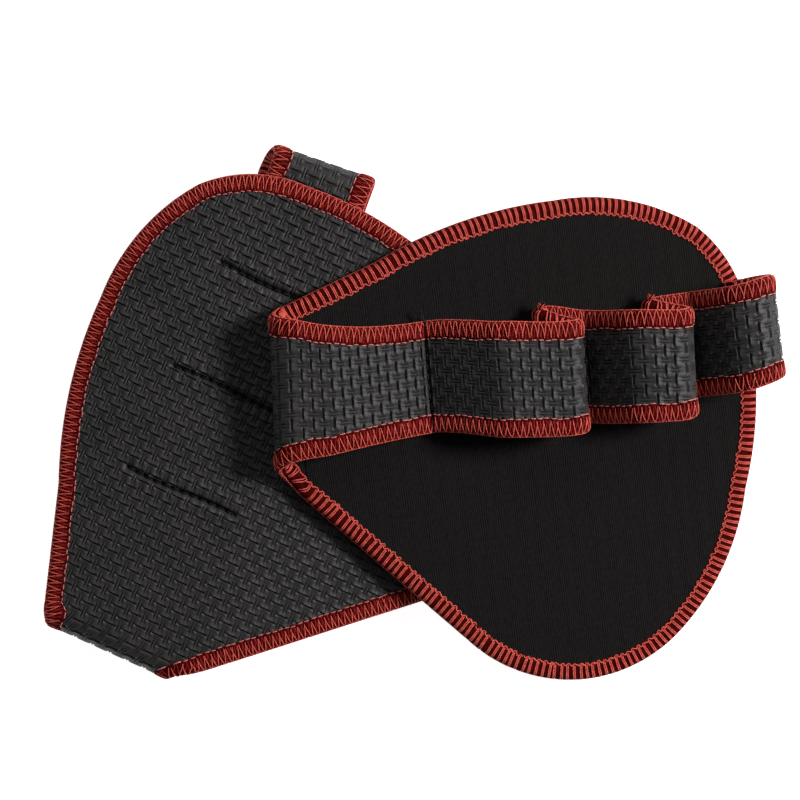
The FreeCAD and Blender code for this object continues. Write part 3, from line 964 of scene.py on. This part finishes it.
def build_pad(grip):
    """The leaf-shaped pad in two pieces, each with rubber, jersey and overlock."""
    name = grip["name"]
    place = pad_place(grip)
    neck = grip["fold"] + ROLL_RADIUS + MID
    bound = outline_points(neck + FOLD_RUN)
    outline = Route(outline_points(neck))
    inset = np.stack(outline.spot(outline.at, TRIM), axis=-1)
    tip = int(np.argmax(inset[:, 0]))
    upper, lower = inset[: tip + 1], inset[tip:][::-1]

    # The pad's two pieces meet on the line t = middle, which the outline's far side crosses once
    middle = grip["split"]
    split = int(np.argmax((bound[:, 1] < middle) & (bound[:, 0] > PAD_MIDDLE)))
    before, after = bound[split - 1], bound[split]
    crossing_s = np.interp(middle, [after[1], before[1]], [after[0], before[0]])
    crossing = np.array([[crossing_s, middle]])
    offsets, rows = (FINE, FINE_ROWS) if grip is LEFT else (COARSE, COARSE)

    def inside(s, t):
        high = np.interp(s, upper[:, 0], upper[:, 1])
        low = np.interp(s, lower[:, 0], lower[:, 1])
        return (t <= high) & (t >= low) & (s <= inset[tip, 0])

    def face(s, t):
        return MID - emboss(s, t) - seam_press(s, t, grip["seams"])

    def knit(s, t):
        return knit_face(s, PAD_RIB_DEPTH)

    finger_edge = np.vstack([bound[:split], crossing])
    palm_edge = np.vstack([crossing, bound[split:]])
    sides = (
        ("finger", middle, PAD_FINGER_SIDE, finger_edge, flap_bend(FINGER_BEND, 1)),
        ("palm", PAD_PALM_SIDE, middle, palm_edge, flap_bend(PALM_BEND, -1)),
    )
    for side, low, high, edge, bend in sides:
        # The left grip's palm side lies under the right grip and has no flap of its own
        moves = side == "finger" or grip is RIGHT
        mover = f"{name}_{side}_flap" if moves else None
        nodes = {layer: [f"{name}_pad_{layer}_centre"] for layer in ("rubber", "jersey", "edging")}
        if moves:
            for layer, names in nodes.items():
                names.append(f"{name}_pad_{layer}_{side}_flap")

        along = lattice_lines(neck, PAD_TIP, offsets)
        across = lattice_lines(low, high, rows)
        solid = slab(along, across, inside, place, face, bond)
        rubber = make_object(f"{name}_pad_rubber_{side}_side", grip, *solid, (RUBBER,))
        attach(rubber, grip, mover, bend, nodes["rubber"])

        skin = slab(*jersey_lines(neck, PAD_TIP, low, high), inside, place, bond, knit)
        jersey = cloth_piece(f"{name}_pad_jersey_{side}_side", grip, rubber, *skin)
        attach(jersey, grip, mover, bend, nodes["jersey"])

        stitched = overlock(f"{name}_pad_overlock_{side}_side", grip, [Route(edge)], place)
        attach(stitched, grip, mover, bend, nodes["edging"])


def build_strap(grip, strap):
    """The four loops, each with foam, jersey and overlock."""
    name = grip["name"]
    place, half, ends = strap["place"], strap["half"], strap["ends"]
    pattern_s, pattern_t = strap["pattern"]

    def inside(u, q):
        return np.abs(q) <= half(u) - TRIM

    def pinch(u):
        """How far the stitched seams pull the strap's face in."""
        return sum(STRAP_SEAM_DEPTH * bell(u - seam, STRAP_SEAM_WIDTH) for seam in ends[1:4])

    def stitched_place(u, q, out):
        """The strap's surface as the overlock follows it, pulled in at the seams."""
        return place(u, q, out - np.clip(out, 0, MID) / MID * pinch(u) * 0.8)

    def knit(u, q):
        return knit_face(u, STRAP_RIB_DEPTH)

    for k in range(4):
        number = k + 1
        start, end = ends[k], ends[k + 1]

        def face(u, q):
            return MID - emboss(pattern_s - u, q + pattern_t) - pinch(u)

        mover = f"right_loop_{number}" if grip is RIGHT else None
        bend = [(PAD_MIDDLE, 0.0, height) for height in OPENING_HEIGHTS[k]]
        if grip is LEFT:
            nodes = {
                "rubber": [f"left_loop_{number}_rubber"],
                "lining": ["left_strap_lining"],
                "edging": ["left_strap_edging", "left_strap_edging_footing"],
            }
        else:
            crown = f"right_loop_{number}_crown_"
            nodes = {
                "rubber": [crown + "rubber", f"right_loop_{number}_feet_rubber"],
                "lining": [crown + "lining", "right_strap_lining"],
                "edging": [crown + "edging", "right_strap_edging"],
            }

        # The left grip's loops 2 and 3 are hidden under its pad
        offsets, rows = (COARSE, COARSE) if grip is LEFT and k in (1, 2) else (FINE, FINE_ROWS)
        widest = float(half(np.linspace(start, end, 50)).max())
        along = pattern_s - lattice_lines(pattern_s - end, pattern_s - start, offsets)[::-1]
        across = lattice_lines(pattern_t - widest, pattern_t + widest, rows) - pattern_t
        solid = slab(along, across, inside, place, face, bond)
        rubber = make_object(f"{name}_loop_{number}_foam", grip, *solid, (RUBBER,))
        attach(rubber, grip, mover, bend, nodes["rubber"])

        skin = slab(*jersey_lines(start, end, -widest, widest), inside, place, bond, knit)
        lining = cloth_piece(f"{name}_loop_{number}_jersey", grip, rubber, *skin)
        attach(lining, grip, mover, bend, nodes["lining"])

        bound = start - FOLD_RUN if k == 0 else start
        routes = [
            Route(strap["edge_line"](1, bound, end)),
            Route(strap["edge_line"](-1, bound, end)[::-1]),
        ]
        extras = []
        if grip is RIGHT and k > 1:
            frayed = loose_ends(strap, stitched_place, start, 14, 2.2, FRAY_RADIUS)
            extras.append((*frayed, IS_LOOPER))
        stitched = overlock(f"{name}_loop_{number}_overlock", grip, routes, stitched_place, extras)
        attach(stitched, grip, mover, bend, nodes["edging"])


def seam_row(place, seam, reach, out):
    """Short stitches across the strap at one seam, whose ends dip into the sheet."""
    count = int(2 * reach / SEAM_STITCH)
    share = np.linspace(0, 1, 9)
    starts = -(count * SEAM_STITCH) / 2 + np.arange(count) * SEAM_STITCH + 0.25
    across = starts[:, None] + 2.0 * share[None, :]
    dip = 0.35 * np.abs(2 * share - 1) ** 3
    depth = np.broadcast_to(out - dip * np.sign(out), across.shape)
    return tubes(place(seam + seam_wander(across, seam), across, depth), SEAM_THREAD_RADIUS)


def build_seams(grip, strap):
    """Three rows of stitches in the pad. The first also shows on the strap, between loops 1 and 2,
    and the right grip's rows end in loose thread."""
    name = grip["name"]
    pad = pad_place(grip)
    for index, seam in enumerate(grip["seams"]):
        u = strap["ends"][index + 1]
        groups = [(*seam_row(pad, seam, SEAM_REACH - 1.0, MID - 0.75), 0)]
        if index == 0:
            reach = value_at(strap["half"], u)
            groups.append((*seam_row(strap["place"], u, reach, MID - 0.5), 0))
        if grip is RIGHT:
            tails = loose_ends(strap, strap["place"], u, 3, 4.5, SEAM_TAIL_RADIUS)
            groups.append((*tails, 0))
        points, faces, coords, _ = joined(groups)
        made = make_object(f"{name}_seam_stitches_{index + 1}", grip, points, faces, coords,
                           (BLACK_THREAD,))
        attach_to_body(made, name + "_grip")
        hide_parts(f"{name}_seam_{index + 1}")


for each in GRIPS:
    build_pad(each)
    each_strap = make_strap(each)
    build_strap(each, each_strap)
    build_seams(each, each_strap)


# ---------------------------------------------------------------- floor, light and camera


def build_stage():
    """A white floor, bright enough of itself to show only the grips' own shadows."""
    mesh = bpy.data.meshes.new("floor")
    reach = 12.0
    corners = [(-reach, -reach, 0), (reach, -reach, 0), (reach, reach, 0), (-reach, reach, 0)]
    mesh.from_pydata(corners, [], [(0, 1, 2, 3)])
    floor = bpy.data.objects.new("floor", mesh)
    bpy.context.scene.collection.objects.link(floor)
    material, shader = new_material("floor", (0.6, 0.6, 0.59), 0.9, specular=0.0)
    shader.inputs["Emission Color"].default_value = (1, 1, 1, 1)
    shader.inputs["Emission Strength"].default_value = 0.93
    mesh.materials.append(material)
    floor.location.z = -0.0005


def area_light(name, place, aim, size, power):
    """A round lamp that points from its place to its aim."""
    data = bpy.data.lights.new(name, "AREA")
    data.shape = "DISK"
    data.size = size
    data.energy = power
    lamp = bpy.data.objects.new(name, data)
    bpy.context.scene.collection.objects.link(lamp)
    lamp.location = place
    direction = np.array(aim) - np.array(place)
    lamp.rotation_euler = Vector(direction).to_track_quat("-Z", "Y").to_euler()


def build_lights():
    """A low white surround, a key light from the right and a soft fill from the far side."""
    world = bpy.data.worlds.new("studio")
    bpy.context.scene.world = world
    world.use_nodes = True
    world.node_tree.nodes["Background"].inputs["Color"].default_value = (1, 1, 1, 1)
    world.node_tree.nodes["Background"].inputs["Strength"].default_value = 0.14
    area_light("key", (0.72, 0.18, 0.6), (0, 0, 0), 0.25, 13.0)
    area_light("fill", (-0.3, 0.7, 0.8), (0, 0, 0), 0.5, 2.5)


def build_camera():
    """Straight above the pair, looking down."""
    data = bpy.data.cameras.new("camera")
    data.sensor_width = 36.0
    data.lens = 77.9
    data.clip_start = 0.01
    camera = bpy.data.objects.new("camera", data)
    bpy.context.scene.collection.objects.link(camera)
    camera.location = (-0.00362, 0.00262, 0.4594)
    bpy.context.scene.camera = camera


build_stage()
build_lights()
build_camera()
bpy.context.scene.view_settings.view_transform = "Standard"
